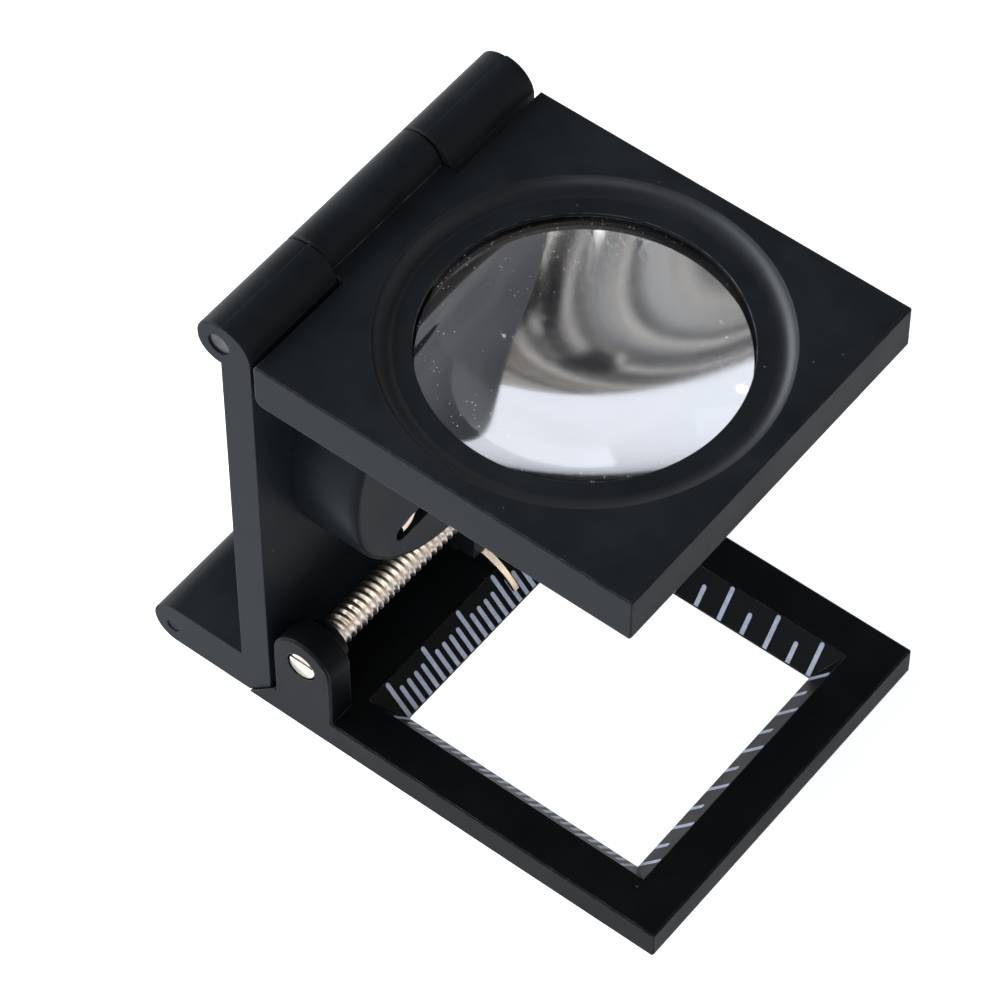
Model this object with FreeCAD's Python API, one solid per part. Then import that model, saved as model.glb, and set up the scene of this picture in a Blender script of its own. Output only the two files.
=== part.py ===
import FreeCAD, Part
import math
import os

os.makedirs("parts", exist_ok=True)

# Folding linen tester: base with a graduated window, upright with a rear foot, hinged lens plate,
# lead screw with a pointer, and a lamp housing on the upright.
# Millimetres. X across the width, -Y to the front, +Z up.
# Origin: underside of the base, middle of the width, front face of the upright.

# ---- base -------------------------------------------------------------------------------------
WIDTH = 38.0                  # base and lens plate
BASE_FRONT = -42.5
BASE_THICK = 3.05
BASE_REAR_TOP = -0.7          # upper edge of the 45 degree rear face
WINDOW = 25.4                 # one inch square opening, at the underside
WINDOW_FRONT = -36.1
WINDOW_LAND = 0.25            # thin square-edged land under the bevel
BEVEL_SIDE = 2.2
BEVEL_REAR = 2.7
EDGE = 0.15                   # broken edge on the black plates

# ---- main hinge and lead screw ------------------------------------------------------------------
HINGE_Y = -3.9
HINGE_Z = 9.1
EAR_R = 3.2
EAR_THICK = 2.8
EAR_EDGE = 0.22               # chamfer round the outer face of an ear
LUG_R = 2.1
LUG_INNER = 15.0
LUG_OUTER = 15.95
LUG_NOSE = 2.0                # the lug's arm reaches this far in front of the screw's axis
LUG_ARM_TOP = 0.6             # below the screw's axis, under the nose
LUG_ARM_REAR_TOP = 1.1        # below the screw's axis, at the upright
LUG_ARM_LOW = 3.9
SCREW_R = 1.5
SCREW_PITCH = 0.75
THREAD_ROOT_R = 1.08
THREAD_CREST = 0.06           # shares of the pitch at which the crest ends and the root starts
THREAD_ROOT = 0.45
THREAD_END = 0.3              # plain length beside a lug
SCREW_END_GAP = 0.05          # left end of the rod, inside the ear's face
SCREW_CHAMFER = 0.2
SCREW_SLOT_DEPTH = 0.5
SCREW_SLOT_LOW = 0.55         # driver slot, above the axis
SCREW_SLOT_HIGH = 0.95
JOURNAL_R = 1.2               # thin right-hand end of the lead screw
JOURNAL_SHORT = 0.4           # the journal ends this far inside the knob
FIT = 0.05                    # radial running clearance
KNOB_R = 3.6
KNOB_LENGTH = 4.6
KNOB_GAP = 0.2
KNOB_FLUTES = 24
KNOB_FLUTE_R = 0.28
KNOB_FLUTE_OUT = 0.1          # flute centres, outside the knob's rim
KNOB_NECK_R = 2.7
KNOB_NECK = 0.7
KNOB_INNER_EDGE = 0.3
KNOB_OUTER_EDGE = 0.35
GRUB_R = 0.5
GRUB_SINK = 0.35
GRUB_SLOT = 0.2
GRUB_SLOT_DEPTH = 0.3

# ---- upright ------------------------------------------------------------------------------------
UPRIGHT_WIDTH = 37.6
UPRIGHT_THICK = 3.17
SEAM_GAP = 0.1                # between the base's rear face and the upright
FOOT_END = 13.4
FOOT_HEIGHT = 4.78
FOOT_PIN_R = 0.7
FOOT_PIN_DEPTH = 5.0
FOOT_PIN_Y = 11.3
FOOT_PIN_Z = 2.0
PIN_SINK = 0.1                # pin ends, inside the upright's sides

# ---- top hinge ----------------------------------------------------------------------------------
TOP_Y = 3.3
TOP_Z = 48.1
BARREL_R = 2.4
TOP_PIN_R = 1.1
KNUCKLE_HALF = 7.45           # half length of the middle knuckle
KNUCKLE_GAP = 0.15
KNUCKLE_EDGE = 0.15
BLEND_TOP_Y = 3.0             # front of an outer knuckle: where it leaves the barrel,
BLEND_MID_Y = 0.85            # its middle and where it meets the upright's face
BLEND_MID_Z = 49.65
BLEND_LOW_Z = 47.8
CUTOUT_DEPTH = 2.8            # below the hinge axis

# ---- lens plate ---------------------------------------------------------------------------------
PLATE_REAR = -0.55
PLATE_FRONT = -38.95
PLATE_TOP = 48.3
PLATE_THICK = 4.72
PLATE_HEEL_R = 0.9            # rounded lower rear edge
LENS_Y = -19.75
DISH_R = 17.4
DISH_FLOOR_R = 15.7
DISH_DEPTH = 0.95
COVE_IN = 0.45                # middle point of the dish's coved rim
COVE_UP = 0.3
LENS_OPENING_R = 14.05
LIP_THICK = 0.4
LENS_R = 14.8
LENS_EDGE = 1.3
LENS_CURVE_R = 56.0
LENS_SEAT_GAP = 0.02
POCKET_R = 14.85
RING_OUTER_R = 14.8
RING_INNER_R = 13.6
RING_THICK = 1.6
RING_NOTCH = 1.2
RING_SINK = 0.1               # above the underside of the plate
RING_SLOPE = 0.35             # fall of the ring's upper face towards the lens's belly

# ---- pointer ------------------------------------------------------------------------------------
POINTER_X = 3.53
NUT_WIDTH = 3.0
NUT_R = 2.6
NUT_FOOT_TOP = 4.7            # flat under the nut where the needle is fastened
NEEDLE_GAP = 0.02             # between neighbouring pieces of the pointer
NEEDLE_THICK = 0.4
NEEDLE_BEND_R = 6.94          # upper side of the needle, curving down to the scale
NEEDLE_BEND_Y = -4.4          # where the curve leaves the flat tab
NEEDLE_TIP_Y = -10.2
NEEDLE_TAB_REAR = -1.6
NEEDLE_TAB_HALF = 1.4
NEEDLE_HALF = 0.38
NEEDLE_TIP_HALF = 0.25
NEEDLE_NECK_Y = -5.6
RIVET_R = 0.4
RIVET_X = 0.75
RIVET_SHANK = 1.2
RIVET_HEAD_R = 0.6
RIVET_HEAD = 0.3

# ---- lamp housing -------------------------------------------------------------------------------
LAMP_Z = 27.8
LAMP_R = 14.5
LAMP_DEPTH = 6.85
LAMP_WALL = 1.2
LAMP_EDGE_R = 0.8
LAMP_GAP = 0.02               # between the housing and the upright
LOWER_SLOT = (-6.2, 19.9)     # middles of the two slots, as (x, z)
UPPER_SLOT = (-0.9, 35.9)
SLOT_HALF = 1.9
SLOT_R = 1.0
WIRE_R = 0.42
WIRE_BOW = 0.35
WIRE_DIP = 1.0
CELL_R = 6.25
CELL_THICK = 2.0
CELL_CAP = 0.3
CELL_CAP_IN = 0.9
CELL_BACK = -0.6
CELL_Z = 30.0
BOSS_R = 1.9
BOSS_X = 9.0
PILOT_DEPTH = 4.5
HOUSING_SCREW_R = 0.8
HOUSING_SCREW_LENGTH = 4.2
HOUSING_SCREW_HEAD_R = 1.5
HOUSING_SCREW_HEAD = 1.0
HOUSING_SCREW_FIT = 0.1
HOUSING_SCREW_SINK = 0.1
HOUSING_SCREW_SLOT = 0.4

PAST = 1.0                    # cutters run this far past the faces that they cut
OVERLAP = 1.0                 # joined pieces run this far into each other
NEAR = 0.01                   # distance within which two faces count as one

X_AXIS = FreeCAD.Vector(1, 0, 0)
Y_AXIS = FreeCAD.Vector(0, 1, 0)
Z_AXIS = FreeCAD.Vector(0, 0, 1)


def vec(x, y, z):
    return FreeCAD.Vector(x, y, z)


def box(x0, x1, y0, y1, z0, z1):
    return Part.makeBox(x1 - x0, y1 - y0, z1 - z0, vec(x0, y0, z0))


def cyl_x(x0, x1, y, z, radius):
    return Part.makeCylinder(radius, x1 - x0, vec(x0, y, z), X_AXIS)


def cyl_y(x, y0, y1, z, radius):
    return Part.makeCylinder(radius, y1 - y0, vec(x, y0, z), Y_AXIS)


def cyl_z(x, y, z0, z1, radius):
    return Part.makeCylinder(radius, z1 - z0, vec(x, y, z0), Z_AXIS)


def side_profile(points, x0, x1):
    """Prism along X of a closed polygon of (y, z) points."""
    corners = [vec(x0, y, z) for y, z in points]
    face = Part.Face(Part.makePolygon(corners + [corners[0]]))
    return face.extrude(vec(x1 - x0, 0, 0))


def turned(points, centre, axis):
    """Solid of revolution: (radius, height) points turned about an axis through the centre."""
    corners = [vec(r, 0, h) for r, h in points]
    solid = Part.Face(Part.makePolygon(corners + [corners[0]])).revolve(vec(0, 0, 0), Z_AXIS, 360)
    solid.Placement = FreeCAD.Placement(centre, FreeCAD.Rotation(Z_AXIS, axis))
    return solid


def edges_where(shape, test):
    return [edge for edge in shape.Edges if test(edge)]


def straight(edge):
    return edge.Curve.TypeId == "Part::GeomLine"


def on_plane(edge, axis, value):
    """True if the whole edge lies in the plane axis = value; the axis is X, Y or Z."""
    bounds = edge.BoundBox
    low, high = getattr(bounds, axis + "Min"), getattr(bounds, axis + "Max")
    return abs(low - value) < NEAR and abs(high - value) < NEAR


def window_cutter():
    """Straight-sided window below, opening out through the bevels above."""
    half = WINDOW / 2
    rear = WINDOW_FRONT + WINDOW
    low = [(-half, WINDOW_FRONT), (half, WINDOW_FRONT), (half, rear), (-half, rear)]
    outer = half + BEVEL_SIDE
    front_top = WINDOW_FRONT - BEVEL_SIDE
    rear_top = rear + BEVEL_REAR
    high = [(-outer, front_top), (outer, front_top), (outer, rear_top), (-outer, rear_top)]
    wires = []
    for ring, z in ((low, WINDOW_LAND), (high, BASE_THICK)):
        corners = [vec(x, y, z) for x, y in ring]
        wires.append(Part.makePolygon(corners + [corners[0]]))
    bevel = Part.makeLoft(wires, True, True)
    return bevel.fuse([box(-half, half, WINDOW_FRONT, rear, -PAST, WINDOW_LAND + NEAR),
                       box(-outer, outer, front_top, rear_top, BASE_THICK, BASE_THICK + PAST)])


def ear(side):
    """Round-topped ear standing on the base, chamfered round its outer face; side is -1 or 1."""
    outer = side * WIDTH / 2
    inner = side * (WIDTH / 2 - EAR_THICK)
    x0, x1 = min(outer, inner), max(outer, inner)
    post = box(x0, x1, HINGE_Y - EAR_R, HINGE_Y + EAR_R, BASE_THICK - OVERLAP, HINGE_Z)
    solid = post.fuse(cyl_x(x0, x1, HINGE_Y, HINGE_Z, EAR_R)).removeSplitter()
    rim = edges_where(solid, lambda e: on_plane(e, "X", outer) and e.BoundBox.ZMax > BASE_THICK)
    return solid.makeChamfer(EAR_EDGE, rim)


def base_plate():
    half = WIDTH / 2
    rear_bottom = BASE_REAR_TOP + BASE_THICK
    outline = [(BASE_FRONT, 0), (rear_bottom, 0), (BASE_REAR_TOP, BASE_THICK), (BASE_FRONT, BASE_THICK)]
    plate = side_profile(outline, -half, half)
    front = edges_where(plate, lambda e: on_plane(e, "Y", BASE_FRONT))
    plate = plate.makeChamfer(EDGE, front)
    sides = edges_where(plate, lambda e: on_plane(e, "Z", BASE_THICK)
                        and (on_plane(e, "X", half) or on_plane(e, "X", -half)))
    plate = plate.makeChamfer(EDGE, sides)
    plate = plate.fuse([ear(-1), ear(1)]).removeSplitter().cut(window_cutter())
    left_hole = cyl_x(-half - PAST, 0, HINGE_Y, HINGE_Z, SCREW_R + FIT)
    right_hole = cyl_x(0, half + PAST, HINGE_Y, HINGE_Z, JOURNAL_R + FIT)
    return plate.cut([left_hole, right_hole])


def barrel(x0, x1):
    """Hinge barrel with its end edges broken."""
    solid = cyl_x(x0, x1, TOP_Y, TOP_Z, BARREL_R)
    return solid.makeChamfer(KNUCKLE_EDGE, edges_where(solid, lambda e: not straight(e)))


def knuckle_blend(x0, x1):
    """Front of an outer knuckle, flowing from the barrel's top down into the upright's face."""
    start = vec(x0, BLEND_TOP_Y, TOP_Z + BARREL_R)
    middle = vec(x0, BLEND_MID_Y, BLEND_MID_Z)
    end = vec(x0, 0, BLEND_LOW_Z)
    arc = Part.Arc(start, middle, end).toShape()
    back = vec(x0, BLEND_TOP_Y, BLEND_LOW_Z)
    wire = Part.Wire([arc, Part.makeLine(end, back), Part.makeLine(back, start)])
    return Part.Face(wire).extrude(vec(x1 - x0, 0, 0))


def upright_body():
    """L-shaped section: wall with a foot to the rear and a 45 degree face against the base."""
    half = UPRIGHT_WIDTH / 2
    round_r = FOOT_HEIGHT / 2
    seam = BASE_REAR_TOP + BASE_THICK + SEAM_GAP * math.sqrt(2)
    outline = [(0, seam), (seam, 0), (FOOT_END - round_r, 0), (FOOT_END - round_r, FOOT_HEIGHT),
               (UPRIGHT_THICK, FOOT_HEIGHT), (UPRIGHT_THICK, TOP_Z), (0, TOP_Z)]
    body = side_profile(outline, -half, half)
    body = body.fuse(cyl_x(-half, half, FOOT_END - round_r, round_r, round_r))
    gap = KNUCKLE_HALF + KNUCKLE_GAP
    for x0, x1 in ((-half, -gap), (gap, half)):
        body = body.fuse([barrel(x0, x1), knuckle_blend(x0, x1)])
    body = body.cut(box(-gap, gap, -PAST, TOP_Y + BARREL_R + PAST, TOP_Z - CUTOUT_DEPTH,
                        TOP_Z + BARREL_R + PAST))
    return body.removeSplitter()


def lug(x0, x1):
    """Hinge lug round the lead screw, on a low arm from the upright's face."""
    nose = cyl_x(x0, x1, HINGE_Y, HINGE_Z, LUG_R)
    arm = [(HINGE_Y - LUG_NOSE, HINGE_Z - LUG_ARM_TOP),
           (HINGE_Y - LUG_NOSE / 2, HINGE_Z - LUG_ARM_LOW),
           (UPRIGHT_THICK / 2, HINGE_Z - LUG_ARM_LOW),
           (UPRIGHT_THICK / 2, HINGE_Z - LUG_ARM_REAR_TOP),
           (HINGE_Y + LUG_NOSE, HINGE_Z - LUG_ARM_TOP)]
    return nose.fuse(side_profile(arm, x0, x1))


def upright_frame():
    lugs = [lug(-LUG_OUTER, -LUG_INNER), lug(LUG_INNER, LUG_OUTER)]
    body = upright_body().fuse(lugs).removeSplitter()
    end = UPRIGHT_WIDTH / 2 + PAST
    holes = [cyl_x(-end, 0, HINGE_Y, HINGE_Z, SCREW_R + FIT),
             cyl_x(0, end, HINGE_Y, HINGE_Z, JOURNAL_R + FIT),
             cyl_x(-end, end, TOP_Y, TOP_Z, TOP_PIN_R),
             cyl_x(-end, -UPRIGHT_WIDTH / 2 + FOOT_PIN_DEPTH, FOOT_PIN_Y, FOOT_PIN_Z, FOOT_PIN_R)]
    back = UPRIGHT_THICK + PAST
    for x in (-BOSS_X, BOSS_X):
        holes.append(cyl_y(x, -PAST, back, LAMP_Z, HOUSING_SCREW_R + HOUSING_SCREW_FIT))
        holes.append(cyl_y(x, UPRIGHT_THICK - HOUSING_SCREW_HEAD, back, LAMP_Z,
                           HOUSING_SCREW_HEAD_R + HOUSING_SCREW_FIT))
    return body.cut(holes)


def lens_drop(radius):
    """How far a lens surface falls from its crown at a given radius."""
    return LENS_CURVE_R - math.sqrt(LENS_CURVE_R ** 2 - radius ** 2)


def lip_height():
    """Underside of the lip that the lens is held against."""
    return PLATE_TOP - DISH_DEPTH - LIP_THICK


def lens():
    top = lip_height() - (lens_drop(LENS_R) - lens_drop(LENS_OPENING_R)) - LENS_SEAT_GAP
    bottom = top - LENS_EDGE
    drop = lens_drop(LENS_R)
    rim = cyl_z(0, LENS_Y, bottom - drop, top + drop, LENS_R)
    upper = Part.makeSphere(LENS_CURVE_R, vec(0, LENS_Y, top + drop - LENS_CURVE_R))
    lower = Part.makeSphere(LENS_CURVE_R, vec(0, LENS_Y, bottom - drop + LENS_CURVE_R))
    return rim.common(upper).common(lower)


def dish_cutter():
    """Shallow dish round the lens: coved rim, flat floor, opening over the lens."""
    floor = PLATE_TOP - DISH_DEPTH
    start = vec(DISH_R, 0, PLATE_TOP)
    middle = vec(DISH_R - COVE_IN, 0, floor + COVE_UP)
    end = vec(DISH_FLOOR_R, 0, floor)
    cove = Part.Arc(start, middle, end).toShape()
    above = PLATE_TOP + PAST
    rest = [end, vec(0, 0, floor), vec(0, 0, above), vec(DISH_R, 0, above), start]
    wire = Part.Wire([cove] + Part.makePolygon(rest).Edges)
    solid = Part.Face(wire).revolve(vec(0, 0, 0), Z_AXIS, 360)
    solid.translate(vec(0, LENS_Y, 0))
    return solid


def plate_blank():
    """Square plate with a rounded lower rear edge and its other outer edges broken."""
    half = WIDTH / 2
    low = PLATE_TOP - PLATE_THICK
    plate = box(-half, half, PLATE_FRONT, PLATE_REAR, low, PLATE_TOP)
    heel = edges_where(plate, lambda e: on_plane(e, "Z", low) and on_plane(e, "Y", PLATE_REAR))
    plate = plate.makeFillet(PLATE_HEEL_R, heel)
    outer = edges_where(plate, lambda e: on_plane(e, "Y", PLATE_FRONT) or on_plane(e, "Z", PLATE_TOP))
    return plate.makeChamfer(EDGE, outer)


def lens_plate():
    low = PLATE_TOP - PLATE_THICK
    tongue = box(-KNUCKLE_HALF, KNUCKLE_HALF, PLATE_REAR - OVERLAP, TOP_Y, TOP_Z - BARREL_R, PLATE_TOP)
    plate = plate_blank().fuse([barrel(-KNUCKLE_HALF, KNUCKLE_HALF), tongue]).removeSplitter()
    return plate.cut([dish_cutter(),
                      cyl_z(0, LENS_Y, low - PAST, PLATE_TOP, LENS_OPENING_R),
                      cyl_z(0, LENS_Y, low - PAST, lip_height(), POCKET_R),
                      cyl_x(-WIDTH / 2, WIDTH / 2, TOP_Y, TOP_Z, TOP_PIN_R + FIT)])


def lens_ring():
    """Retaining ring under the lens, sloped to its belly, with two notches for turning it."""
    bottom = PLATE_TOP - PLATE_THICK + RING_SINK
    top = bottom + RING_THICK
    section = [(RING_INNER_R, bottom), (RING_OUTER_R, bottom), (RING_OUTER_R, top),
               (RING_INNER_R, top - RING_SLOPE)]
    ring = turned(section, vec(0, LENS_Y, 0), Z_AXIS)
    notch = RING_NOTCH / 2
    for side in (-1, 1):
        y = LENS_Y + side * RING_OUTER_R
        ring = ring.cut(box(-notch, notch, y - 2 * PAST, y + 2 * PAST, bottom - PAST,
                            bottom + RING_THICK / 2))
    return ring


def thread_profile():
    """Half outline of the grooved length, as (radius, height along the screw) points."""
    turns = int(2 * (LUG_INNER - THREAD_END) / SCREW_PITCH)
    start = -turns * SCREW_PITCH / 2
    stations = [(SCREW_R, THREAD_CREST), (THREAD_ROOT_R, THREAD_ROOT),
                (THREAD_ROOT_R, 1 - THREAD_ROOT), (SCREW_R, 1 - THREAD_CREST)]
    points = []
    for turn in range(turns):
        points += [(radius, start + (turn + share) * SCREW_PITCH) for radius, share in stations]
    return points


def lead_screw():
    """Rod from the left ear to the knob: plain end, grooved length, thin right-hand journal."""
    left = -WIDTH / 2 + SCREW_END_GAP
    right = WIDTH / 2 + KNOB_GAP + KNOB_LENGTH - JOURNAL_SHORT
    shoulder = LUG_INNER - FIT
    outline = [(0, left), (SCREW_R - SCREW_CHAMFER, left), (SCREW_R, left + SCREW_CHAMFER)]
    outline += thread_profile()
    outline += [(SCREW_R, shoulder), (JOURNAL_R, shoulder), (JOURNAL_R, right), (0, right)]
    rod = turned(outline, vec(0, HINGE_Y, HINGE_Z), X_AXIS)
    slot = box(left - PAST, left + SCREW_SLOT_DEPTH, HINGE_Y - SCREW_R, HINGE_Y + SCREW_R,
               HINGE_Z + SCREW_SLOT_LOW, HINGE_Z + SCREW_SLOT_HIGH)
    return rod.cut(slot)


def screw_knob():
    start = WIDTH / 2 + KNOB_GAP
    end = start + KNOB_LENGTH
    neck = start + KNOB_NECK
    outline = [(JOURNAL_R, start), (KNOB_NECK_R, start), (KNOB_NECK_R, neck),
               (KNOB_R - KNOB_INNER_EDGE, neck), (KNOB_R, neck + KNOB_INNER_EDGE),
               (KNOB_R, end - KNOB_OUTER_EDGE), (KNOB_R - KNOB_OUTER_EDGE, end), (JOURNAL_R, end)]
    knob = turned(outline, vec(0, HINGE_Y, HINGE_Z), X_AXIS)
    reach = KNOB_R + KNOB_FLUTE_OUT
    flutes = []
    for index in range(KNOB_FLUTES):
        angle = 2 * math.pi * (index + 0.5) / KNOB_FLUTES
        y = HINGE_Y + reach * math.cos(angle)
        z = HINGE_Z + reach * math.sin(angle)
        flutes.append(cyl_x(neck - KNOB_FLUTE_OUT, end + KNOB_FLUTE_OUT, y, z, KNOB_FLUTE_R))
    grub = cyl_z((start + end) / 2, HINGE_Y, HINGE_Z, HINGE_Z + KNOB_R + PAST, GRUB_R)
    return knob.cut(flutes + [grub])


def knob_grub_screw():
    x = WIDTH / 2 + KNOB_GAP + KNOB_LENGTH / 2
    low = HINGE_Z + JOURNAL_R + NEAR
    top = HINGE_Z + KNOB_R - GRUB_SINK
    half = GRUB_SLOT / 2
    slot = box(x - PAST, x + PAST, HINGE_Y - half, HINGE_Y + half, top - GRUB_SLOT_DEPTH, top + PAST)
    return cyl_z(x, HINGE_Y, low, top, GRUB_R).cut(slot)


def pointer_nut():
    """Round-backed nut with a flat underside; its bore clears the crests of the thread."""
    x0 = POINTER_X - NUT_WIDTH / 2
    x1 = POINTER_X + NUT_WIDTH / 2
    body = cyl_x(x0, x1, HINGE_Y, HINGE_Z, NUT_R)
    foot = box(x0, x1, HINGE_Y - NUT_R, HINGE_Y + NUT_R, NUT_FOOT_TOP, HINGE_Z)
    body = body.fuse(foot).removeSplitter()
    return body.cut(cyl_x(x0 - PAST, x1 + PAST, HINGE_Y, HINGE_Z, SCREW_R + FIT))


def needle_side():
    """Side of the needle: flat tab under the nut, then a strip curving down to the scale."""
    x0 = POINTER_X - NEEDLE_TAB_HALF
    top = NUT_FOOT_TOP - NEEDLE_GAP
    centre_z = top - NEEDLE_BEND_R
    full = math.asin((NEEDLE_BEND_Y - NEEDLE_TIP_Y) / NEEDLE_BEND_R)

    def on_bend(radius, angle):
        return vec(x0, NEEDLE_BEND_Y - radius * math.sin(angle), centre_z + radius * math.cos(angle))

    inner_r = NEEDLE_BEND_R - NEEDLE_THICK
    upper = Part.Arc(on_bend(NEEDLE_BEND_R, 0), on_bend(NEEDLE_BEND_R, full / 2),
                     on_bend(NEEDLE_BEND_R, full)).toShape()
    lower = Part.Arc(on_bend(inner_r, full), on_bend(inner_r, full / 2), on_bend(inner_r, 0)).toShape()
    tip = Part.makeLine(on_bend(NEEDLE_BEND_R, full), on_bend(inner_r, full))
    tab = Part.makePolygon([on_bend(inner_r, 0), vec(x0, NEEDLE_TAB_REAR, top - NEEDLE_THICK),
                            vec(x0, NEEDLE_TAB_REAR, top), on_bend(NEEDLE_BEND_R, 0)])
    wire = Part.Wire([upper, tip, lower] + tab.Edges)
    return Part.Face(wire).extrude(vec(2 * NEEDLE_TAB_HALF, 0, 0))


def pointer_needle():
    """Curved strip, wide under the nut and tapering to a fine tip on the scale."""
    plan = [(NEEDLE_TIP_HALF, NEEDLE_TIP_Y - PAST), (NEEDLE_HALF, NEEDLE_NECK_Y),
            (NEEDLE_TAB_HALF, NEEDLE_BEND_Y), (NEEDLE_TAB_HALF, NEEDLE_TAB_REAR + PAST)]
    left = [(-x, y) for x, y in reversed(plan)]
    corners = [vec(POINTER_X + x, y, 0) for x, y in plan + left]
    outline = Part.Face(Part.makePolygon(corners + [corners[0]])).extrude(vec(0, 0, NUT_FOOT_TOP + PAST))
    shanks = [rivet_shank(side, NEEDLE_GAP) for side in (-1, 1)]
    return needle_side().common(outline).cut(shanks)


def rivet_shank(side, clearance):
    x = POINTER_X + side * RIVET_X
    return cyl_z(x, HINGE_Y, NUT_FOOT_TOP - RIVET_SHANK, NUT_FOOT_TOP - NEEDLE_GAP, RIVET_R + clearance)


def pointer_rivet(side):
    """Rivet that holds the needle under the nut; side is -1 or 1."""
    shank = rivet_shank(side, 0)
    under = NUT_FOOT_TOP - NEEDLE_THICK - 2 * NEEDLE_GAP
    x = POINTER_X + side * RIVET_X
    below = cyl_z(x, HINGE_Y, 0, under - RIVET_HEAD, RIVET_HEAD_R)
    head = cyl_z(x, HINGE_Y, under - RIVET_HEAD, under, RIVET_HEAD_R)
    return shank.fuse(head).cut(below).removeSplitter()


def pointer_rivet_left():
    return pointer_rivet(-1)


def pointer_rivet_right():
    return pointer_rivet(1)


def lamp_slot(middle):
    """Round-ended slot through the housing's face, at an (x, z) middle."""
    x, z = middle
    front = -LAMP_DEPTH - PAST
    back = -LAMP_DEPTH + LAMP_WALL + PAST
    slot = box(x - SLOT_HALF, x + SLOT_HALF, front, back, z - SLOT_R, z + SLOT_R)
    ends = [cyl_y(x + side * SLOT_HALF, front, back, z, SLOT_R) for side in (-1, 1)]
    return slot.fuse(ends)


def lamp_housing():
    drum = cyl_y(0, -LAMP_DEPTH, -LAMP_GAP, LAMP_Z, LAMP_R)
    rim = edges_where(drum, lambda e: not straight(e) and on_plane(e, "Y", -LAMP_DEPTH))
    drum = drum.makeFillet(LAMP_EDGE_R, rim)
    inner = -LAMP_DEPTH + LAMP_WALL
    hollow = cyl_y(0, inner, PAST, LAMP_Z, LAMP_R - LAMP_WALL)
    bosses = [cyl_y(x, inner - NEAR, -LAMP_GAP, LAMP_Z, BOSS_R) for x in (-BOSS_X, BOSS_X)]
    pilots = [cyl_y(x, -PILOT_DEPTH, PAST, LAMP_Z, HOUSING_SCREW_R) for x in (-BOSS_X, BOSS_X)]
    shell = drum.cut(hollow).fuse(bosses).removeSplitter()
    return shell.cut(pilots + [lamp_slot(LOWER_SLOT), lamp_slot(UPPER_SLOT)])


def lamp_contact(middle):
    """Bowed copper wire lying along a slot and dipping into the housing at its inner end."""
    x, z = middle
    face = -LAMP_DEPTH
    start = vec(x - SLOT_HALF, face + WIRE_R, z)
    bow = vec(x, face + WIRE_R + WIRE_BOW, z)
    end = vec(x + SLOT_HALF, face + LAMP_WALL + WIRE_DIP, z)
    arc = Part.Arc(start, bow, end).toShape()
    section = Part.Face(Part.Wire(Part.makeCircle(WIRE_R, start, arc.tangentAt(arc.FirstParameter))))
    return Part.Wire([arc]).makePipe(section)


def lamp_contact_lower():
    return lamp_contact(LOWER_SLOT)


def lamp_contact_upper():
    return lamp_contact(UPPER_SLOT)


def lamp_cell():
    """Button cell, with the smaller cap facing the front."""
    can = cyl_y(0, CELL_BACK - CELL_THICK + CELL_CAP, CELL_BACK, CELL_Z, CELL_R)
    cap = cyl_y(0, CELL_BACK - CELL_THICK, CELL_BACK, CELL_Z, CELL_R - CELL_CAP_IN)
    return can.fuse(cap).removeSplitter()


def housing_screw(x):
    """Slotted screw from the back of the upright into a boss of the lamp housing."""
    back = UPRIGHT_THICK - HOUSING_SCREW_SINK
    shank = cyl_y(x, -HOUSING_SCREW_LENGTH, back, LAMP_Z, HOUSING_SCREW_R)
    head = cyl_y(x, UPRIGHT_THICK - HOUSING_SCREW_HEAD, back, LAMP_Z, HOUSING_SCREW_HEAD_R)
    reach = HOUSING_SCREW_HEAD_R + PAST
    half = HOUSING_SCREW_SLOT / 2
    slot = box(x - reach, x + reach, back - HOUSING_SCREW_SLOT, back + PAST, LAMP_Z - half, LAMP_Z + half)
    return shank.fuse(head).removeSplitter().cut(slot)


def housing_screw_left():
    return housing_screw(-BOSS_X)


def housing_screw_right():
    return housing_screw(BOSS_X)


def foot_pin():
    left = -UPRIGHT_WIDTH / 2
    return cyl_x(left + PIN_SINK, left + FOOT_PIN_DEPTH, FOOT_PIN_Y, FOOT_PIN_Z, FOOT_PIN_R)


def lens_hinge_pin():
    half = UPRIGHT_WIDTH / 2 - 2 * PIN_SINK
    return cyl_x(-half, half, TOP_Y, TOP_Z, TOP_PIN_R)


NODES = {
    "base_plate": base_plate,
    "upright_frame": upright_frame,
    "foot_pin": foot_pin,
    "lens_plate": lens_plate,
    "lens_hinge_pin": lens_hinge_pin,
    "lens": lens,
    "lens_ring": lens_ring,
    "lead_screw": lead_screw,
    "screw_knob": screw_knob,
    "knob_grub_screw": knob_grub_screw,
    "pointer_nut": pointer_nut,
    "pointer_needle": pointer_needle,
    "pointer_rivet_left": pointer_rivet_left,
    "pointer_rivet_right": pointer_rivet_right,
    "lamp_housing": lamp_housing,
    "lamp_contact_lower": lamp_contact_lower,
    "lamp_contact_upper": lamp_contact_upper,
    "lamp_cell": lamp_cell,
    "housing_screw_left": housing_screw_left,
    "housing_screw_right": housing_screw_right,
}

for name, make in NODES.items():
    make().exportStep("parts/" + name + ".step")
    print("wrote", name)
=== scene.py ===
import math

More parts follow.
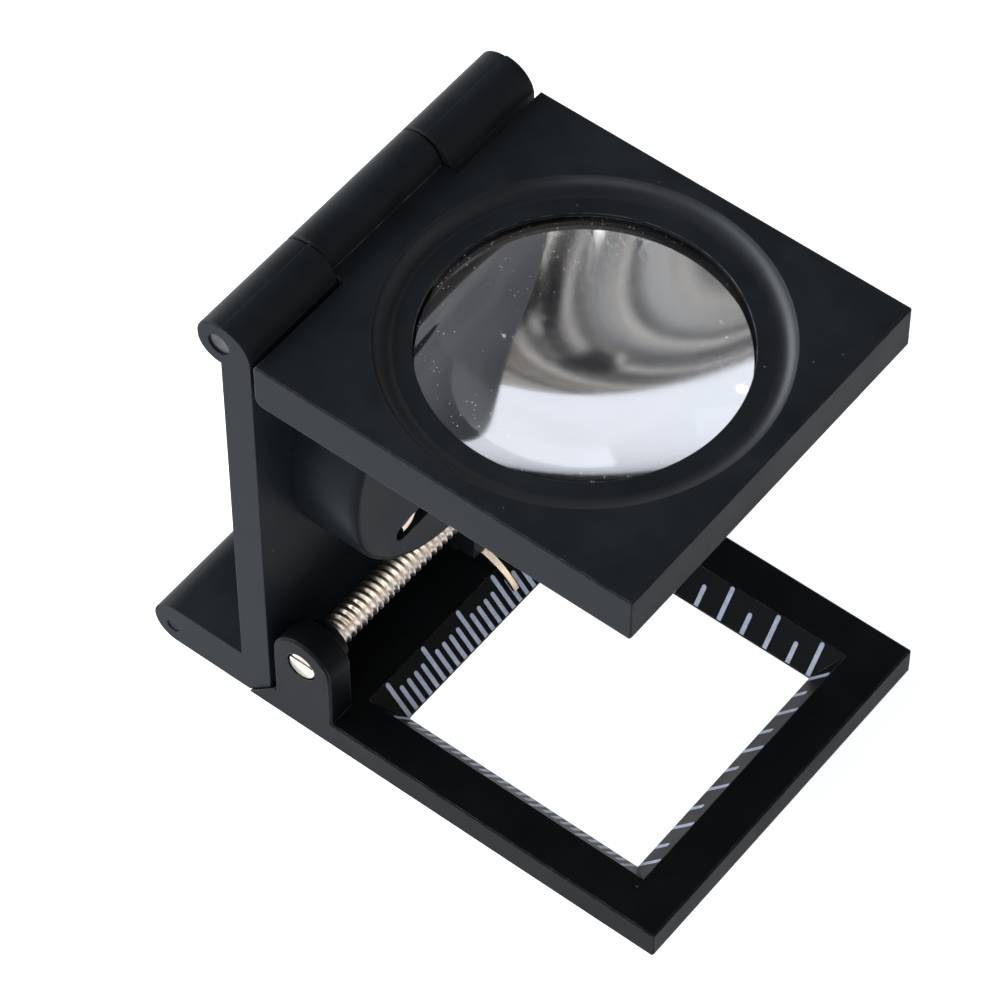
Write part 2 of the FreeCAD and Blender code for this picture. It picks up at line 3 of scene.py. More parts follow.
import bmesh
import bpy
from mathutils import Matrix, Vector


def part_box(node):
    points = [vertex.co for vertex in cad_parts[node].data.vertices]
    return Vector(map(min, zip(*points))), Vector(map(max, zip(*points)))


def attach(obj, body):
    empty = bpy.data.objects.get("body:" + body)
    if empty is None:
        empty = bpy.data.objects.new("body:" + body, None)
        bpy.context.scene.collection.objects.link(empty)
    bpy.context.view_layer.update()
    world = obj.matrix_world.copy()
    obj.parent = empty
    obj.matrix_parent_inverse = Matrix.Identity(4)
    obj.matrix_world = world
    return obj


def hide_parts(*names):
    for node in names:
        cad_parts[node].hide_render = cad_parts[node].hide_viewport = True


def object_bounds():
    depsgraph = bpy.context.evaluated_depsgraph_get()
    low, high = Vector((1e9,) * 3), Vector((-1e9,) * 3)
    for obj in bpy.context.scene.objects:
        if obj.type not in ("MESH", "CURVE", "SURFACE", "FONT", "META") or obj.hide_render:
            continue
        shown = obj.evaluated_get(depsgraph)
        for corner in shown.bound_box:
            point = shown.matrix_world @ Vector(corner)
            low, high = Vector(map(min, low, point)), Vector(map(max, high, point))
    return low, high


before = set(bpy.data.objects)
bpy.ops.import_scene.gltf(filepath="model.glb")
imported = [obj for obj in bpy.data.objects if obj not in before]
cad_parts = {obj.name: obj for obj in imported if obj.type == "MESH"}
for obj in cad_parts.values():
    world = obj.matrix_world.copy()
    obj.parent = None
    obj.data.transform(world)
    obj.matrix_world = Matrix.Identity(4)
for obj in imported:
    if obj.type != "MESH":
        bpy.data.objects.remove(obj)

CAD_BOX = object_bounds()
MM = 0.001
INCH = 25.4 * MM

# ---- sizes of the object that the pieces below are built from, in metres ----------------------
SCREW_LOW, SCREW_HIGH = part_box("lead_screw")
LENS_LOW, LENS_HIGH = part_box("lens")
LENS_Y = (LENS_LOW.y + LENS_HIGH.y) / 2
BASE_THICK = 3.05 * MM
WINDOW = 25.4 * MM
WINDOW_FRONT = -36.1 * MM
WINDOW_LAND = 0.25 * MM  # upright part of the window's edge, under the bevels
BEVEL_SIDE = 2.2 * MM
BEVEL_REAR = 2.7 * MM
DISH_FLOOR = 15.7 * MM  # radius where the flat floor of the dish ends and its coved rim starts
DISH_RIM = 17.4 * MM  # radius where the coved rim meets the top of the plate

# ---- view -------------------------------------------------------------------------------------
CAMERA_AZIMUTH = -51.953
CAMERA_ELEVATION = 52.987
CAMERA_PLACE = Vector((-203.71, -170.55, 362.29)) * MM
CAMERA_LENS = 178.28
CAMERA_SENSOR = 36.0
CAMERA_CLIP_START = 0.01


def rgb(red, green, blue):
    return (red, green, blue, 1.0)


# ---- small helpers for shader trees -----------------------------------------------------------
BEVEL_SAMPLES = 4
EDGE_LEAN = (0.05, 0.28)  # how far the rounded normal leans where an edge starts and is full
DOT_CORE = 0.6  # share of a speck's radius that is solid, before it fades
COVE_FADE_IN = (DISH_FLOOR - 0.1 * MM, DISH_FLOOR + 0.3 * MM)
COVE_FADE_OUT = (DISH_RIM, DISH_RIM + 0.1 * MM)


class Shader:
    """A material's node tree, with short calls for the nodes that the finishes below use."""

    def __init__(self, name):
        self.material = bpy.data.materials.new(name)
        self.material.use_nodes = True
        self.tree = self.material.node_tree
        self.surface = self.tree.nodes["Principled BSDF"]
        self.place = self.add("ShaderNodeTexCoord").outputs["Object"]

    def add(self, kind, **settings):
        node = self.tree.nodes.new(kind)
        for key, value in settings.items():
            setattr(node, key, value)
        return node

    def link(self, source, target):
        self.tree.links.new(source, target)

    def feed(self, node, values):
        """Sets each input to a number or colour, or links it if the value is a socket."""
        for key, value in values.items():
            if isinstance(value, bpy.types.NodeSocket):
                self.link(value, node.inputs[key])
            else:
                node.inputs[key].default_value = value

    def noise(self, scale, detail=2.0, roughness=0.5, stretch=None):
        place = self.place
        if stretch:
            mapping = self.add("ShaderNodeMapping")
            self.feed(mapping, {"Vector": place, "Scale": stretch})
            place = mapping.outputs["Vector"]
        node = self.add("ShaderNodeTexNoise")
        self.feed(node, {"Vector": place, "Scale": scale, "Detail": detail,
                         "Roughness": roughness})
        return node.outputs["Fac"]

    def specks(self, scale, size, share=0.28):
        """Small round dots, one in a share of the cells of a cellular pattern."""
        cells = self.add("ShaderNodeTexVoronoi")
        self.feed(cells, {"Vector": self.place, "Scale": scale})
        dot = self.ramp(cells.outputs["Distance"], (size * DOT_CORE, size), (1.0, 0.0))
        chosen = self.add("ShaderNodeSeparateColor")
        self.link(cells.outputs["Color"], chosen.inputs["Color"])
        kept = self.math("GREATER_THAN", chosen.outputs["Red"], 1 - share)
        return self.math("MULTIPLY", dot, kept)

    def math(self, operation, first, second):
        node = self.add("ShaderNodeMath", operation=operation)
        self.feed(node, {0: first, 1: second})
        return node.outputs["Value"]

    def vector_math(self, operation, first, second=None):
        node = self.add("ShaderNodeVectorMath", operation=operation)
        self.feed(node, {0: first} if second is None else {0: first, 1: second})
        return node.outputs["Value" if operation in ("LENGTH", "DOT_PRODUCT") else "Vector"]

    def ramp(self, value, span, result=(0.0, 1.0)):
        """Maps the span of the value to the result's start and end, and holds it outside."""
        node = self.add("ShaderNodeMapRange")
        self.feed(node, {"Value": value, "From Min": span[0], "From Max": span[1],
                         "To Min": result[0], "To Max": result[1]})
        return node.outputs["Result"]

    def mix(self, amount, first, second):
        """Colour between the first, at 0, and the second, at 1."""
        node = self.add("ShaderNodeMix", data_type="RGBA")
        self.feed(node, {0: amount, 6: first, 7: second})  # 6 and 7 are the colour inputs
        return node.outputs[2]

    def rounded(self, radius):
        """Normal of the surface as if its edges were rounded."""
        node = self.add("ShaderNodeBevel", samples=BEVEL_SAMPLES)
        node.inputs["Radius"].default_value = radius
        return node.outputs["Normal"]

    def edge(self, radius):
        """1 on sharp edges, 0 elsewhere, from how far a rounded normal leans from the true one."""
        true_normal = self.add("ShaderNodeNewGeometry").outputs["True Normal"]
        agreement = self.vector_math("DOT_PRODUCT", self.rounded(radius), true_normal)
        return self.ramp(self.math("SUBTRACT", 1.0, agreement), EDGE_LEAN)

    def turned_rim(self):
        """1 on the coved rim of the dish round the lens, 0 elsewhere."""
        offset = self.vector_math("SUBTRACT", self.place, (0.0, LENS_Y, 0.0))
        away = self.vector_math("LENGTH", self.vector_math("MULTIPLY", offset, (1.0, 1.0, 0.0)))
        inside = self.ramp(away, COVE_FADE_IN)
        outside = self.ramp(away, COVE_FADE_OUT, (1.0, 0.0))
        return self.math("MULTIPLY", inside, outside)

    def bump(self, height, strength, distance, normal=None):
        node = self.add("ShaderNodeBump")
        self.feed(node, {"Strength": strength, "Distance": distance, "Height": height})
        if normal:
            self.link(normal, node.inputs["Normal"])
        return node.outputs["Normal"]

    def finish(self, **values):
        """Feeds the surface, with an underscore for each space in an input's name."""
        self.feed(self.surface, {key.replace("_", " "): value for key, value in values.items()})
        return self.material


# ---- finishes ---------------------------------------------------------------------------------
PAINT_DARK = (0.68, 0.85, 1.0)  # times the tone of a black coat
PAINT_LIGHT = (0.95, 1.2, 1.45)
PAINT_DUST = rgb(0.4, 0.4, 0.4)
PAINT_DUST_SHOWS = 0.2
WORN_EDGE = rgb(0.42, 0.42, 0.43)
WORN_EDGE_WIDTH = 0.12 * MM
WORN_EDGE_METALLIC = 0.8
COVE_SHEEN = rgb(0.026, 0.029, 0.033)
COVE_METALLIC = 0.6
COAT_EDGE_RADIUS = 0.16 * MM
METAL_EDGE_RADIUS = 0.08 * MM
BROWN_TARNISH = (0.2, 0.17, 0.13)
SCALE_PAINT_DARK = rgb(0.26, 0.31, 0.42)
SCALE_PAINT_LIGHT = rgb(0.40, 0.45, 0.57)
GLASS_TINT = rgb(0.61, 0.63, 0.67)
GLASS_DUST = rgb(0.9, 0.9, 0.9)
GLASS_IOR = 1.52


def black_coat(name, tone, rough, gloss, wear, rim=False):
    """Satin black coating on metal: fine grain, faint mottling, dust specks, pale worn edges.

    The tone is the grey of the paint, and its light parts lean to blue. The gloss is its specular
    level. With rim, the dish's cove is glossier, which is done with a dark metallic share because
    the export drops a specular level that varies.
    """
    s = Shader(name)
    grain = s.noise(scale=5200.0, detail=3.0, roughness=0.6)
    mottle = s.noise(scale=160.0, detail=4.0, roughness=0.6)
    dust = s.specks(scale=520.0, size=0.055)
    chip = s.ramp(s.noise(scale=900.0, detail=4.0, roughness=0.7), (0.42, 0.62), (0.1, 1.0))
    worn = s.math("MULTIPLY", s.math("MULTIPLY", s.edge(WORN_EDGE_WIDTH), chip), wear)
    dark = rgb(*(tone * part for part in PAINT_DARK))
    light = rgb(*(tone * part for part in PAINT_LIGHT))
    paint = s.mix(s.ramp(mottle, (0.35, 0.7)), dark, light)
    dusty = s.mix(s.math("MULTIPLY", dust, PAINT_DUST_SHOWS), paint, PAINT_DUST)
    colour = s.mix(worn, dusty, WORN_EDGE)
    roughness = s.ramp(mottle, (0.3, 0.75), (rough - 0.05, rough + 0.07))
    normal = s.bump(grain, strength=0.5, distance=0.014 * MM, normal=s.rounded(COAT_EDGE_RADIUS))
    metal = s.math("MULTIPLY", worn, WORN_EDGE_METALLIC)
    if rim:
        cove = s.turned_rim()
        colour = s.mix(cove, colour, COVE_SHEEN)
        metal = s.math("MAXIMUM", metal, s.math("MULTIPLY", cove, COVE_METALLIC))
    return s.finish(Base_Color=colour, Roughness=roughness, Metallic=metal, Normal=normal,
                    Specular_IOR_Level=gloss)


def turned_metal(name, colour, rough, stretch=(1.0, 1.0, 1.0), tarnish=BROWN_TARNISH):
    """Bright metal with fine machining lines, stretched along an axis, and tarnish in patches."""
    s = Shader(name)
    lines = s.noise(scale=1600.0, detail=3.0, roughness=0.6, stretch=stretch)
    patches = s.noise(scale=420.0, detail=4.0, roughness=0.6)
    stain = s.ramp(patches, (0.5, 0.75), (0.0, 0.55))
    shade = s.mix(stain, rgb(*colour), rgb(*tarnish))
    roughness = s.ramp(lines, (0.3, 0.7), (rough * 0.75, rough * 1.3))
    normal = s.bump(lines, strength=0.3, distance=0.01 * MM, normal=s.rounded(METAL_EDGE_RADIUS))
    return s.finish(Base_Color=shade, Metallic=1.0, Roughness=roughness, Normal=normal)


def scale_paint():
    """Lavender-white paint in the scale lines, darker where it is thin."""
    s = Shader("scale_paint")
    full = s.ramp(s.noise(scale=1400.0, detail=4.0, roughness=0.7), (0.35, 0.7))
    colour = s.mix(full, SCALE_PAINT_DARK, SCALE_PAINT_LIGHT)
    roughness = s.ramp(full, (0.0, 1.0), (0.62, 0.5))
    normal = s.bump(s.noise(scale=6000.0), strength=0.3, distance=0.01 * MM)
    return s.finish(Base_Color=colour, Roughness=roughness, Normal=normal)


def lens_glass():
    """Clear glass, faintly grey-blue, with fine dust and faint smears on it."""
    s = Shader("lens_glass")
    fine = s.specks(scale=2300.0, size=0.12, share=0.5)
    few = s.specks(scale=520.0, size=0.05)
    patch = s.ramp(s.noise(scale=110.0, detail=3.0, roughness=0.6), (0.42, 0.6), (0.1, 1.0))
    dust = s.math("MULTIPLY", s.math("MAXIMUM", fine, few), patch)
    through = s.ramp(dust, (0.0, 1.0), (1.0, 0.2))
    smear = s.ramp(s.noise(scale=90.0, detail=4.0, roughness=0.6), (0.4, 0.8), (0.035, 0.075))
    roughness = s.math("MAXIMUM", s.ramp(dust, (0.0, 1.0), (0.0, 0.6)), smear)
    colour = s.mix(dust, GLASS_TINT, GLASS_DUST)
    return s.finish(Base_Color=colour, Transmission_Weight=through, Roughness=roughness,
                    IOR=GLASS_IOR)


def give(material, *names):
    for name in names:
        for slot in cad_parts[name].material_slots:
            slot.material = material


def finishes():
    """Materials of the CAD nodes that stay as they are."""
    plate = black_coat("black_plate_coat", tone=0.011, rough=0.42, gloss=0.045, wear=0.4, rim=True)
    upright = black_coat("black_upright_coat", tone=0.011, rough=0.42, gloss=0.045, wear=0.08)
    # The base's coat is a darker copy of the black coat: partly its own tone, partly painted shade
    # from the lens plate above it.
    base = black_coat("black_base_coat", tone=0.004, rough=0.42, gloss=0.05, wear=0.5)
    housing = black_coat("black_housing_coat", tone=0.009, rough=0.34, gloss=0.04, wear=0.3)
    steel = turned_metal("pin_steel", (0.065, 0.068, 0.075), rough=0.48,
                         tarnish=(0.03, 0.03, 0.035))
    nickel = turned_metal("knob_nickel", (0.72, 0.70, 0.66), rough=0.22, stretch=(0.2, 1.0, 1.0))
    brass = turned_metal("needle_brass", (0.86, 0.74, 0.58), rough=0.24, stretch=(1.0, 0.3, 0.3),
                         tarnish=(0.45, 0.26, 0.12))
    copper = turned_metal("contact_copper", (0.88, 0.74, 0.64), rough=0.22,
                          tarnish=(0.4, 0.2, 0.12))
    cell = turned_metal("cell_steel", (0.6, 0.6, 0.6), rough=0.25)
    give(plate, "lens_plate")
    give(upright, "upright_frame", "foot_pin")
    give(base, "base_plate")
    give(housing, "lamp_housing", "lens_ring", "pointer_nut")
    give(steel, "lens_hinge_pin", "housing_screw_left", "housing_screw_right", "knob_grub_screw")
    give(nickel, "screw_knob")
    give(brass, "pointer_needle", "pointer_rivet_left", "pointer_rivet_right")
    give(copper, "lamp_contact_lower", "lamp_contact_upper")
    give(cell, "lamp_cell")


# ---- mesh helpers -----------------------------------------------------------------------------
WELD_DISTANCE = 1e-7
SHORTEST_EDGE = 1e-8


def new_object(name, verts, faces, material, smooth=True):
    mesh = bpy.data.meshes.new(name)
    mesh.from_pydata([tuple(v) for v in verts], [], faces)
    mesh.validate()
    mesh.update()
    if smooth:
        mesh.polygons.foreach_set("use_smooth", [True] * len(mesh.polygons))
    piece = bpy.data.objects.new(name, mesh)
    bpy.context.scene.collection.objects.link(piece)
    piece.data.materials.append(material)
    return piece


def box_object(name, low, high):
    mesh = bmesh.new()
    bmesh.ops.create_cube(mesh, size=1.0)
    bmesh.ops.scale(mesh, vec=high - low, verts=mesh.verts)
    bmesh.ops.translate(mesh, vec=(low + high) / 2, verts=mesh.verts)
    data = bpy.data.meshes.new(name)
    mesh.to_mesh(data)
    mesh.free()
    piece = bpy.data.objects.new(name, data)
    bpy.context.scene.collection.objects.link(piece)
    return piece


def ring_faces(rings, around):
    """Quads between successive closed rings of points."""
    faces = []
    for ring in range(rings - 1):
        for step in range(around):
            a = ring * around + step
            b = ring * around + (step + 1) % around
            faces.append((a, b, b + around, a + around))
    return faces


def weld(piece):
    """Joins points that lie on each other, drops empty faces and turns the rest outwards."""
    mesh = bmesh.new()
    mesh.from_mesh(piece.data)
    bmesh.ops.remove_doubles(mesh, verts=mesh.verts, dist=WELD_DISTANCE)
    bmesh.ops.dissolve_degenerate(mesh, edges=mesh.edges, dist=SHORTEST_EDGE)
    bmesh.ops.recalc_face_normals(mesh, faces=mesh.faces)
    mesh.to_mesh(piece.data)
    mesh.free()


def apply_modifiers(piece):
    graph = bpy.context.evaluated_depsgraph_get()
    mesh = bpy.data.meshes.new_from_object(piece.evaluated_get(graph))
    piece.modifiers.clear()
    piece.data = mesh


# ---- lead screw -------------------------------------------------------------------------------
SCREW_AXIS_Y = (SCREW_LOW.y + SCREW_HIGH.y) / 2
SCREW_AXIS_Z = (SCREW_LOW.z + SCREW_HIGH.z) / 2
SCREW_RADIUS = (SCREW_HIGH.z - SCREW_LOW.z) / 2
SCREW_PITCH = 0.75 * MM
SCREW_CHAMFER = 0.2 * MM
THREAD_DEPTH = 0.34 * MM
THREAD_HALF = 14.6 * MM  # half the threaded length
THREAD_SHOULDER = 14.95 * MM  # where the rod narrows to the journal that carries the knob
THREAD_RUN_IN = 0.05 * MM  # plain stretch before the first cut
THREAD_ENTRY = 1.5  # depths gained in each turn at the thread's ends, up to one
THREAD_STRAIGHT = 0.35  # share of straight flank in the profile, the rest is eased
JOURNAL_RADIUS = 1.2 * MM
SCREW_AROUND = 40
STEPS_PER_TURN = 10
SLOT_BOTTOM = 0.55 * MM  # above the axis
SLOT_TOP = 0.9 * MM
SLOT_DEPTH = 0.4 * MM
SLOT_HALF_LENGTH = 2 * MM
SLOT_CLEAR = 1 * MM  # how far the cutter stands out of the rod's end


def thread_radius(phase):
    """Radius at a phase 0..1 across one pitch: rounded crest, V flanks, rounded root."""
    flank = abs(phase - 0.5) * 2
    ease = flank * flank * (3 - 2 * flank)
    height = THREAD_STRAIGHT * flank + (1 - THREAD_STRAIGHT) * ease
    return SCREW_RADIUS - THREAD_DEPTH * (1 - height)


def screw_rings():
    """Stations along the rod as (x, plain radius, share of the thread that is cut)."""
    left, right = SCREW_LOW.x, SCREW_HIGH.x
    rings = [(left, 0.0, 0.0),
             (left, SCREW_RADIUS - SCREW_CHAMFER, 0.0),
             (left + SCREW_CHAMFER, SCREW_RADIUS, 0.0),
             (-THREAD_HALF - THREAD_RUN_IN, SCREW_RADIUS, 0.0)]
    count = round(2 * THREAD_HALF / SCREW_PITCH * STEPS_PER_TURN)
    for index in range(count + 1):
        x = -THREAD_HALF + 2 * THREAD_HALF * index / count
        turns = min(index, count - index) / STEPS_PER_TURN
        rings.append((x, SCREW_RADIUS, min(1.0, turns * THREAD_ENTRY)))
    rings += [(THREAD_SHOULDER, SCREW_RADIUS, 0.0),
              (THREAD_SHOULDER, JOURNAL_RADIUS, 0.0),
              (right - SCREW_CHAMFER, JOURNAL_RADIUS, 0.0),
              (right, JOURNAL_RADIUS - SCREW_CHAMFER, 0.0),
              (right, 0.0, 0.0)]
    return rings


def lead_screw(material):
    """The rod with its helical thread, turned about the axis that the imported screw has."""
    verts = []
    rings = screw_rings()
    for x, plain, cut in rings:
        for step in range(SCREW_AROUND):
            angle = 2 * math.pi * step / SCREW_AROUND
            radius = plain
            if cut > 0:
                phase = (x / SCREW_PITCH - step / SCREW_AROUND) % 1.0
                radius = plain + cut * (thread_radius(phase) - SCREW_RADIUS)
            verts.append((x, SCREW_AXIS_Y + radius * math.cos(angle),
                          SCREW_AXIS_Z + radius * math.sin(angle)))
    faces = ring_faces(len(rings), SCREW_AROUND)
    piece = new_object("lead_screw_thread", verts, faces, material)
    weld(piece)
    cut_driver_slot(piece)
    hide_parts("lead_screw")
    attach(piece, "screw")


def cut_driver_slot(piece):
    """Narrow slot across the left end, above the middle."""
    low = Vector((SCREW_LOW.x - SLOT_CLEAR, SCREW_AXIS_Y - SLOT_HALF_LENGTH,
                  SCREW_AXIS_Z + SLOT_BOTTOM))
    high = Vector((SCREW_LOW.x + SLOT_DEPTH, SCREW_AXIS_Y + SLOT_HALF_LENGTH,
                   SCREW_AXIS_Z + SLOT_TOP))
    cutter = box_object("slot_cutter", low, high)
    cut = piece.modifiers.new("slot", "BOOLEAN")
    cut.operation = "DIFFERENCE"
    cut.object = cutter
    cut.solver = "EXACT"
    apply_modifiers(piece)
    bpy.data.objects.remove(cutter)


# ---- lens -------------------------------------------------------------------------------------
LENS_CURVE = 56.0 * MM  # radius of each spherical face
LENS_ARRIS = 0.02 * MM
LENS_AROUND = 160
LENS_RINGS = 48


def lens_outline():
    """Half outline of the biconvex lens, as (radius, height) points, lower crown to upper."""
    radius = (LENS_HIGH.x - LENS_LOW.x) / 2
    middle = (LENS_LOW.z + LENS_HIGH.z) / 2
    upper = []
    for ring in range(1, LENS_RINGS + 1):
        r = (radius - LENS_ARRIS) * ring / LENS_RINGS
        upper.append((r, LENS_HIGH.z - LENS_CURVE + math.sqrt(LENS_CURVE ** 2 - r ** 2)))
    upper.append((radius, upper[-1][1] - LENS_ARRIS))
    lower = [(r, 2 * middle - z) for r, z in upper]
    return lower + list(reversed(upper))


def lens(material):
    """The lens with finely divided spherical faces, so that it bends light evenly."""
    x = (LENS_LOW.x + LENS_HIGH.x) / 2
    verts = []
    outline = lens_outline()
    for radius, z in outline:
        for step in range(LENS_AROUND):
            angle = 2 * math.pi * step / LENS_AROUND
            verts.append((x + radius * math.cos(angle), LENS_Y + radius * math.sin(angle), z))
    faces = ring_faces(len(outline), LENS_AROUND)
    for first, crown in ((0, LENS_LOW.z), (len(verts) - LENS_AROUND, LENS_HIGH.z)):
        centre = len(verts)
        verts.append((x, LENS_Y, crown))
        for step in range(LENS_AROUND):
            faces.append((centre, first + (step + 1) % LENS_AROUND, first + step))
    piece = new_object("lens_ground", verts, faces, material)
    weld(piece)
    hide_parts("lens")
    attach(piece, "lens_leaf")


# ---- scale lines ------------------------------------------------------------------------------
LINE_WIDTH = 0.45 * MM
LINE_HEIGHT = 0.02 * MM
LINE_GAP = 0.03 * MM  # between the window's edge and the foot of each line
LINE_CAP_STEPS = 6
LONG_LINE = 0.97  # reach of a line up the bevel, as a share of the bevel's slope
SHORT_MM_LINE = 0.68
SHORT_TENTH_LINE = 0.62
MM_LINES = 26
MM_FIRST = 0.2 * MM
MM_STEP = 0.999 * MM
MM_LONG_EVERY = 5
TENTH_LINES = 11
TENTH_LONG_EVERY = 2
TENTH_MARGIN = LINE_WIDTH * 0.6  # the end lines stay this far inside the window's corners


def bevel_sides():
    """The four bevels: start corner, direction along the edge, outward direction, run."""
    half = WINDOW / 2
    rear = WINDOW_FRONT + WINDOW
    right, back = Vector((1, 0, 0)), Vector((0, 1, 0))
    left, front = -right, -back
    return {
        "rear": (Vector((-half, rear, 0)), right, back, BEVEL_REAR),
        "left": (Vector((-half, rear, 0)), front, left, BEVEL_SIDE),
        "right": (Vector((half, rear, 0)), front, right, BEVEL_SIDE),
        "front": (Vector((-half, WINDOW_FRONT, 0)), right, front, BEVEL_SIDE),
    }


def scale_line(corner, along, out, run, at, reach):
    """One painted line on a bevel, from the window's edge outwards, with a round outer end."""
    slope = Vector((out.x * run, out.y * run, BASE_THICK - WINDOW_LAND))
    up = slope.normalized()
    normal = along.cross(up).normalized()
    if normal.z < 0:
        normal = -normal
    foot = corner + along * at + Vector((0, 0, WINDOW_LAND))
    half = LINE_WIDTH / 2
    tip = slope.length * reach - half
    outline = [(-half, 0.0), (half, 0.0)]
    for step in range(LINE_CAP_STEPS + 1):
        angle = math.pi * step / LINE_CAP_STEPS
        outline.append((half * math.cos(angle), tip + half * math.sin(angle)))
    lifted = [foot + along * x + up * (y + LINE_GAP) + normal * LINE_HEIGHT for x, y in outline]
    sunk = [p - normal * LINE_HEIGHT * 2 for p in lifted]
    return lifted, sunk


def scale_rows():
    """Every line as (bevel, distance along it, reach): millimetres and tenths of an inch."""
    rows = []
    for side in ("rear", "left"):
        for index in range(MM_LINES):
            reach = SHORT_MM_LINE if index % MM_LONG_EVERY else LONG_LINE
            rows.append((side, MM_FIRST + index * MM_STEP, reach))
    for side in ("right", "front"):
        for index in range(TENTH_LINES):
            at = min(max(index * INCH / 10, TENTH_MARGIN), WINDOW - TENTH_MARGIN)
            reach = SHORT_TENTH_LINE if index % TENTH_LONG_EVERY else LONG_LINE
            rows.append((side, at, reach))
    return rows


def scale_lines(material):
    """The painted scales as thin raised strips on the four bevels."""
    sides = bevel_sides()
    verts, faces = [], []
    for side, at, reach in scale_rows():
        top, bottom = scale_line(*sides[side], at, reach)
        first = len(verts)
        count = len(top)
        verts += top + bottom
        faces.append(tuple(range(first, first + count)))
        faces.append(tuple(reversed(range(first + count, first + 2 * count))))
        for step in range(count):
            a = first + step
            b = first + (step + 1) % count
            faces.append((a, a + count, b + count, b))
    piece = new_object("scale_lines", verts, faces, material, smooth=False)
    weld(piece)
    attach(piece, "base")


# ---- studio -----------------------------------------------------------------------------------
FLOOR_SIZE = 3.0
FLOOR_STEPS = 12
FLOOR_LEVEL = -0.02 * MM
PAPER_DARK = rgb(0.40, 0.40, 0.405)
PAPER_LIGHT = rgb(0.43, 0.43, 0.435)
BRIGHT_SIDE = (-0.79, 0.62, 0.0)
BRIGHT_SIDE_FADE = (-0.03, 0.03)
# The floor's glow is painted light: it lights the object's sides from below and shows through the
# lens.
GLOW_DIM_SIDE = rgb(0.78, 0.80, 0.84)
GLOW_BRIGHT_SIDE = rgb(1.32, 1.42, 1.54)
GLOW_WARM = rgb(1.05, 0.92, 0.80)
GLOW_FAR = rgb(1.45, 1.45, 1.50)
WARM_FADE = (0.16, 0.30)
FAR_FADE = (0.30, 0.60)
LIGHT_DISTANCE = 0.55  # of the lamps from the middle of the object
WALLS = [  # height of the direction, 0 at the horizon to 1 overhead, and colour
    (0.00, (0.72, 0.77, 0.86)),
    (0.12, (0.72, 0.66, 0.60)),
    (0.26, (0.38, 0.30, 0.23)),
    (0.40, (0.24, 0.20, 0.165)),
    (0.55, (0.23, 0.215, 0.20)),
    (0.70, (0.14, 0.15, 0.17)),
    (0.90, (0.14, 0.15, 0.17)),
]
WALL_PATCHES = {"Scale": 1.6, "Detail": 1.0}  # noise that makes the room uneven
WALL_PATCH_RANGE = {"From Min": 0.35, "From Max": 0.65, "To Min": 0.55, "To Max": 1.6}


def floor_paper():
    """White-looking paper that glows as painted light, though the floor is no lamp: brighter on
    the left close by, then warm, and brightest far out.
    """
    s = Shader("floor_paper")
    tooth = s.noise(scale=700.0, detail=3.0, roughness=0.6)
    cloud = s.noise(scale=6.0, detail=2.0, roughness=0.5)
    colour = s.mix(cloud, PAPER_DARK, PAPER_LIGHT)
    normal = s.bump(tooth, strength=0.1, distance=0.02 * MM)
    away = s.vector_math("LENGTH", s.place)
    across = s.vector_math("DOT_PRODUCT", s.place, BRIGHT_SIDE)
    near = s.mix(s.ramp(across, BRIGHT_SIDE_FADE), GLOW_DIM_SIDE, GLOW_BRIGHT_SIDE)
    middle = s.mix(s.ramp(away, WARM_FADE), near, GLOW_WARM)
    glow = s.mix(s.ramp(away, FAR_FADE), middle, GLOW_FAR)
    return s.finish(Base_Color=colour, Roughness=0.85, Normal=normal, Emission_Color=glow,
                    Emission_Strength=1.0)


def floor():
    row_length = FLOOR_STEPS + 1
    verts, faces = [], []
    for row in range(row_length):
        for column in range(row_length):
            verts.append((FLOOR_SIZE * (column / FLOOR_STEPS - 0.5),
                          FLOOR_SIZE * (row / FLOOR_STEPS - 0.5), FLOOR_LEVEL))
    for row in range(FLOOR_STEPS):
        for column in range(FLOOR_STEPS):
            a = row * row_length + column
            faces.append((a, a + 1, a + 1 + row_length, a + row_length))
    ground = new_object("floor", verts, faces, floor_paper(), smooth=False)


def softbox(name, direction, width, power, shape="SQUARE", through_glass=True):
    """Area light about half a metre away that faces the object from a direction."""
    centre = (CAD_BOX[0] + CAD_BOX[1]) / 2
    toward = Vector(direction).normalized()
    data = bpy.data.lights.new(name, "AREA")
    data.shape = shape
    data.size = width
    data.energy = power
    lamp = bpy.data.objects.new(name, data)
    lamp.location = centre + toward * LIGHT_DISTANCE
    lamp.rotation_mode = "QUATERNION"
    lamp.rotation_quaternion = toward.to_track_quat("Z", "Y")
    lamp.visible_transmission = through_glass
    bpy.context.scene.collection.objects.link(lamp)


def lights():
    """Lamps placed for the photograph's highlights. Some aren't seen through the lens."""
    softbox("key", (-0.80, -0.35, 0.50), width=0.40, power=1.5)
    softbox("rear", (0.05, 0.90, 0.36), width=0.30, power=4.2, through_glass=False)
    softbox("rear_middle", (-0.42, 0.80, 0.38), width=0.30, power=1.8, through_glass=False)
    softbox("rear_left", (-0.74, 0.52, 0.40), width=0.30, power=1.5, through_glass=False)
    softbox("front_right", (0.47, -0.80, 0.33), width=0.22, power=0.1)
    softbox("top_right", (0.47, -0.51, 0.73), width=0.45, power=0.42, through_glass=False)
    softbox("glint", (0.60, -0.05, 0.75), width=0.014, power=0.03, shape="DISK")


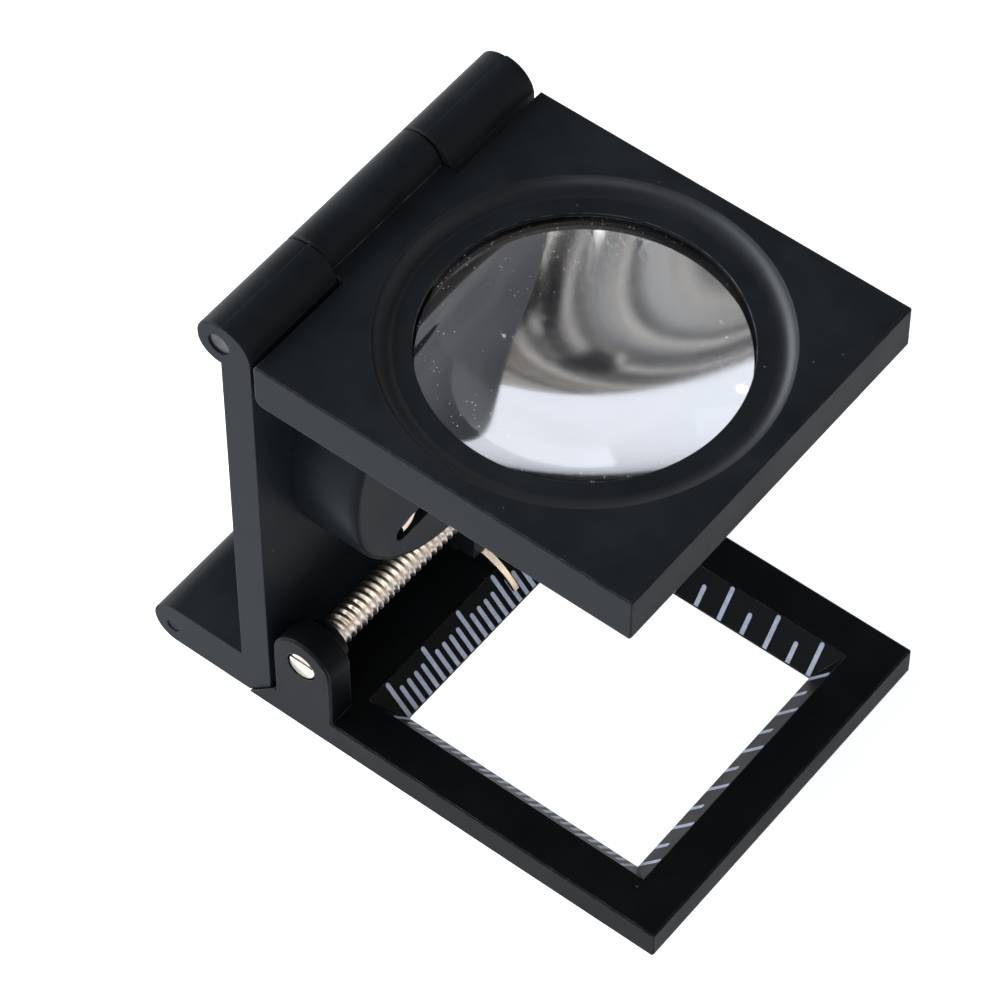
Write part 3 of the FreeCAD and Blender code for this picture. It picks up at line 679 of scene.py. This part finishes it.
def room():
    """Pale skirting, warm grey walls in soft uneven patches and a dim ceiling."""
    world = bpy.data.worlds.new("room")
    world.use_nodes = True
    nodes, links = world.node_tree.nodes, world.node_tree.links
    place = nodes.new("ShaderNodeTexCoord")
    split = nodes.new("ShaderNodeSeparateXYZ")
    fade = nodes.new("ShaderNodeValToRGB")
    patches = nodes.new("ShaderNodeTexNoise")
    strength = nodes.new("ShaderNodeMapRange")
    background = nodes["Background"]
    ramp = fade.color_ramp
    while len(ramp.elements) < len(WALLS):
        ramp.elements.new(0.5)
    for stop, (height, colour) in zip(ramp.elements, WALLS):
        stop.position = height
        stop.color = rgb(*colour)
    for node, values in ((patches, WALL_PATCHES), (strength, WALL_PATCH_RANGE)):
        for key, value in values.items():
            node.inputs[key].default_value = value
    links.new(place.outputs["Generated"], split.inputs["Vector"])
    links.new(place.outputs["Generated"], patches.inputs["Vector"])
    links.new(patches.outputs["Fac"], strength.inputs["Value"])
    links.new(strength.outputs["Result"], background.inputs["Strength"])
    links.new(split.outputs["Z"], fade.inputs["Fac"])
    links.new(fade.outputs["Color"], background.inputs["Color"])
    bpy.context.scene.world = world


def camera():
    azimuth, elevation = math.radians(CAMERA_AZIMUTH), math.radians(CAMERA_ELEVATION)
    back = Vector((math.sin(azimuth) * math.cos(elevation),
                   -math.cos(azimuth) * math.cos(elevation),
                   math.sin(elevation)))
    data = bpy.data.cameras.new("camera")
    data.lens = CAMERA_LENS
    data.sensor_width = CAMERA_SENSOR
    data.clip_start = CAMERA_CLIP_START
    view = bpy.data.objects.new("camera", data)
    view.location = CAMERA_PLACE
    view.rotation_mode = "QUATERNION"
    view.rotation_quaternion = back.to_track_quat("Z", "Y")
    bpy.context.scene.collection.objects.link(view)
    bpy.context.scene.camera = view


bpy.context.scene.view_settings.view_transform = "Standard"
camera()
room()
lights()
floor()
finishes()
lead_screw(turned_metal("screw_nickel", (0.66, 0.59, 0.51), rough=0.33, stretch=(1.0, 0.2, 0.2),
                        tarnish=(0.56, 0.49, 0.41)))
lens(lens_glass())
scale_lines(scale_paint())
